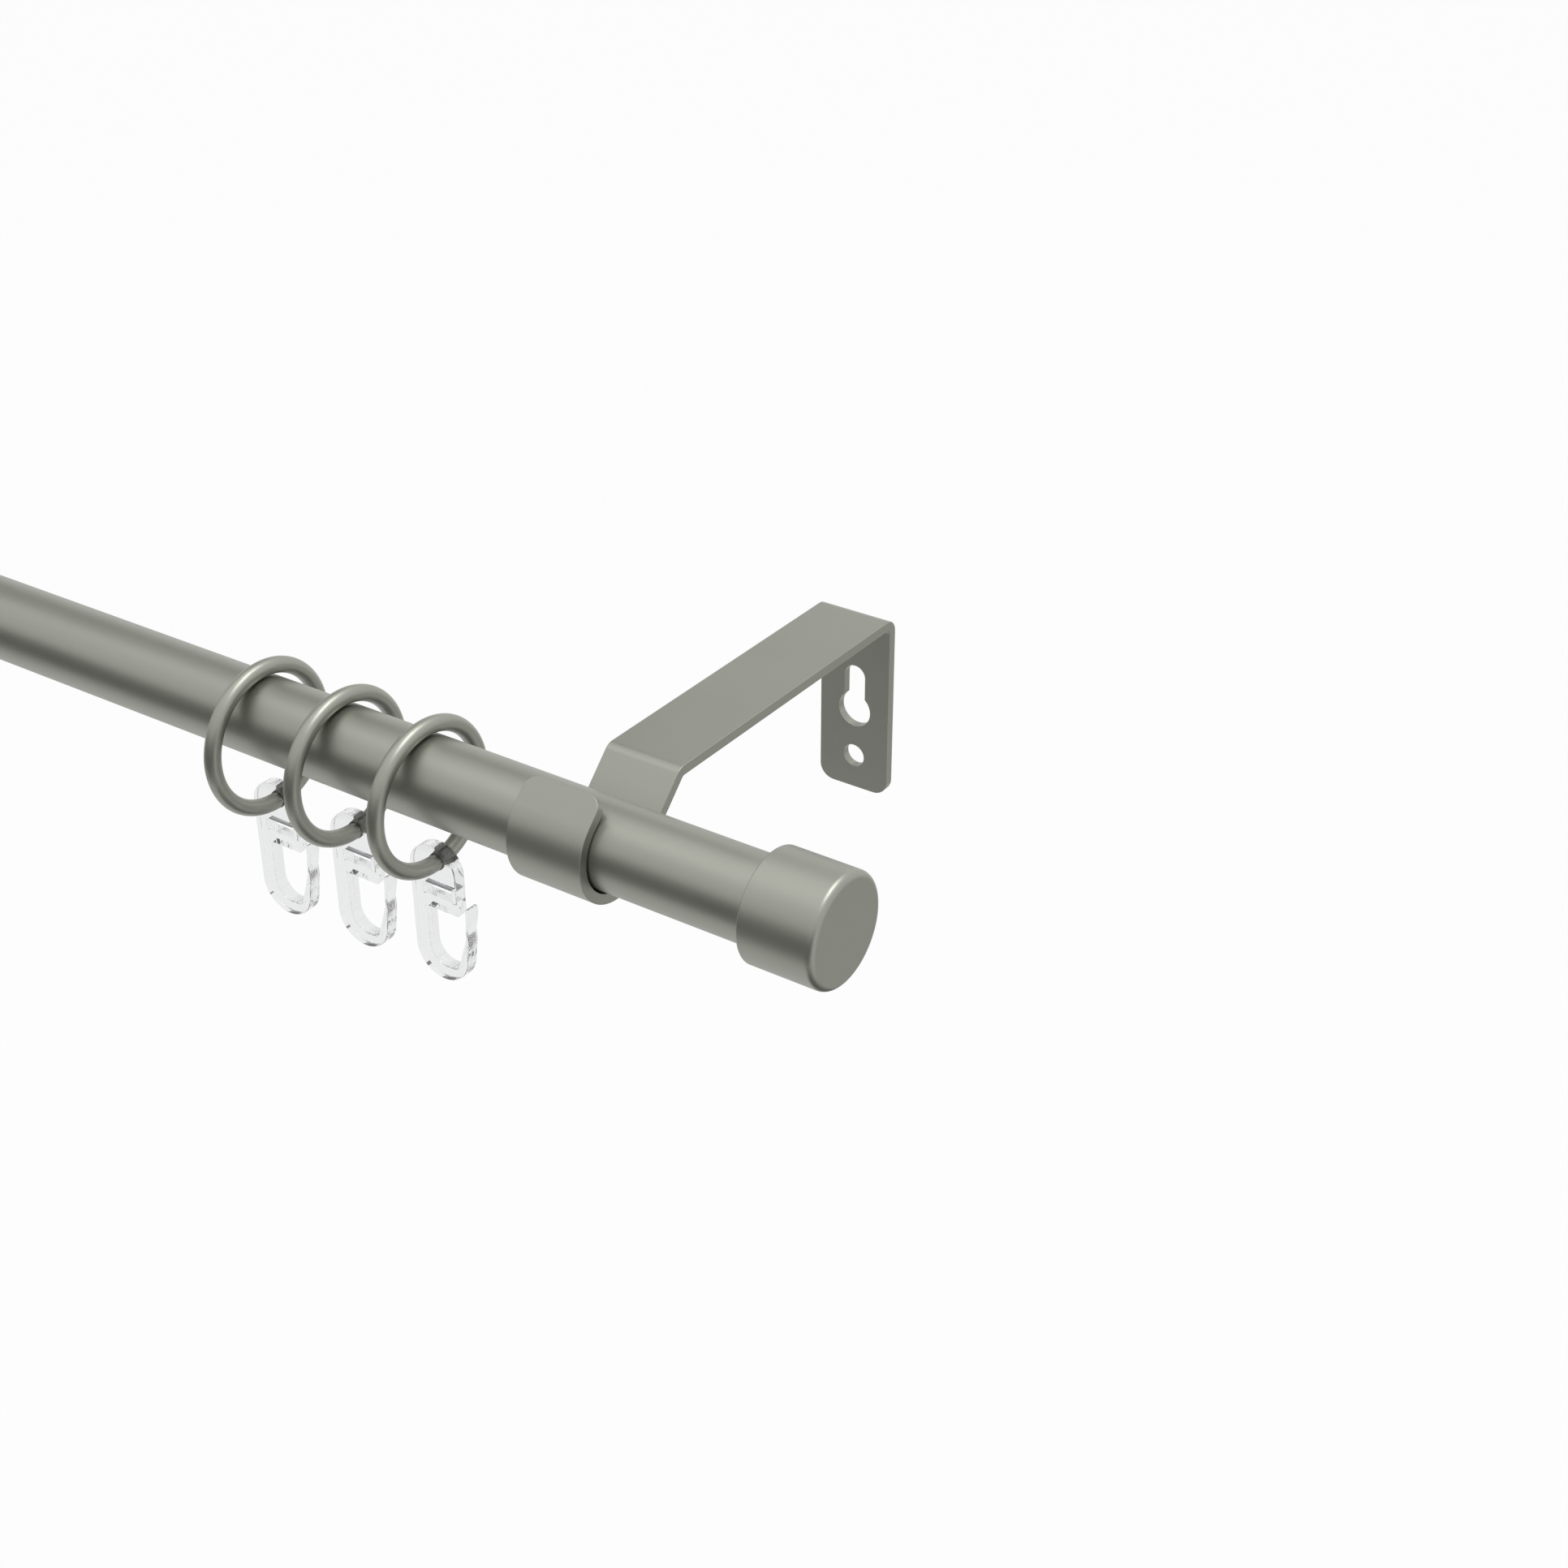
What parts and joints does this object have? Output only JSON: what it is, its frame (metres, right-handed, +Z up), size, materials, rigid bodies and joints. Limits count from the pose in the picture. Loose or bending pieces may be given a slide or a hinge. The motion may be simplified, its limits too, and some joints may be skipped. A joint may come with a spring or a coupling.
{
  "type": "curtain rod",
  "caption": "Straight round curtain rod held at each end in a folded wall bracket, with plain end caps and wire rings that carry clear clip hooks.",
  "frame": {"origin": "on the wall, midway between the lower round screw holes of the two brackets", "axes": "+X along the rod to the right as seen from the room, +Y into the wall, +Z up"},
  "size_m": [1.005, 0.1321, 0.0699],
  "materials": {
    "satin_metal": "satin metallic lacquer, nickel-coloured",
    "clear_plastic": "clear and glossy"
  },
  "bodies": {
    "fixed_rod": {"rod_tube": "satin_metal", "end_cap_right": "satin_metal", "bracket_right": "satin_metal", "end_cap_left": "satin_metal", "bracket_left": "satin_metal"},
    "ring_right_1": {"ring_right_1": "satin_metal"},
    "hook_right_1": {"hook_right_1": "clear_plastic"},
    "ring_right_2": {"ring_right_2": "satin_metal"},
    "hook_right_2": {"hook_right_2": "clear_plastic"},
    "ring_right_3": {"ring_right_3": "satin_metal"},
    "hook_right_3": {"hook_right_3": "clear_plastic"},
    "ring_left_1": {"ring_left_1": "satin_metal"},
    "hook_left_1": {"hook_left_1": "clear_plastic"},
    "ring_left_2": {"ring_left_2": "satin_metal"},
    "hook_left_2": {"hook_left_2": "clear_plastic"},
    "ring_left_3": {"ring_left_3": "satin_metal"},
    "hook_left_3": {"hook_left_3": "clear_plastic"}
  },
  "joints": [
    {"name": "ring_right_1_slide", "type": "slide", "parent": "fixed_rod", "child": "ring_right_1", "axis": [1, 0, 0], "range_m": [-0.11, 0.031]},
    {"name": "hook_right_1_slide_round", "type": "hinge", "parent": "ring_right_1", "child": "hook_right_1", "pos_m": [0.39035, -0.1125, 0.0271], "axis": [1, 0, 0], "range_deg": [-60, 60]},
    {"name": "ring_right_2_slide", "type": "slide", "parent": "ring_right_1", "child": "ring_right_2", "axis": [1, 0, 0], "range_m": [-0.11, 0.0072]},
    {"name": "hook_right_2_slide_round", "type": "hinge", "parent": "ring_right_2", "child": "hook_right_2", "pos_m": [0.36535, -0.1125, 0.0271], "axis": [1, 0, 0], "range_deg": [-60, 60]},
    {"name": "ring_right_3_slide", "type": "slide", "parent": "ring_right_2", "child": "ring_right_3", "axis": [1, 0, 0], "range_m": [-0.11, 0.0072]},
    {"name": "hook_right_3_slide_round", "type": "hinge", "parent": "ring_right_3", "child": "hook_right_3", "pos_m": [0.34035, -0.1125, 0.0271], "axis": [1, 0, 0], "range_deg": [-60, 60]},
    {"name": "ring_left_1_slide", "type": "slide", "parent": "fixed_rod", "child": "ring_left_1", "axis": [-1, 0, 0], "range_m": [-0.11, 0.031]},
    {"name": "hook_left_1_slide_round", "type": "hinge", "parent": "ring_left_1", "child": "hook_left_1", "pos_m": [-0.39035, -0.1125, 0.0271], "axis": [1, 0, 0], "range_deg": [-60, 60]},
    {"name": "ring_left_2_slide", "type": "slide", "parent": "ring_left_1", "child": "ring_left_2", "axis": [-1, 0, 0], "range_m": [-0.11, 0.0072]},
    {"name": "hook_left_2_slide_round", "type": "hinge", "parent": "ring_left_2", "child": "hook_left_2", "pos_m": [-0.36535, -0.1125, 0.0271], "axis": [1, 0, 0], "range_deg": [-60, 60]},
    {"name": "ring_left_3_slide", "type": "slide", "parent": "ring_left_2", "child": "ring_left_3", "axis": [-1, 0, 0], "range_m": [-0.11, 0.0072]},
    {"name": "hook_left_3_slide_round", "type": "hinge", "parent": "ring_left_3", "child": "hook_left_3", "pos_m": [-0.34035, -0.1125, 0.0271], "axis": [1, 0, 0], "range_deg": [-60, 60]}
  ]
}
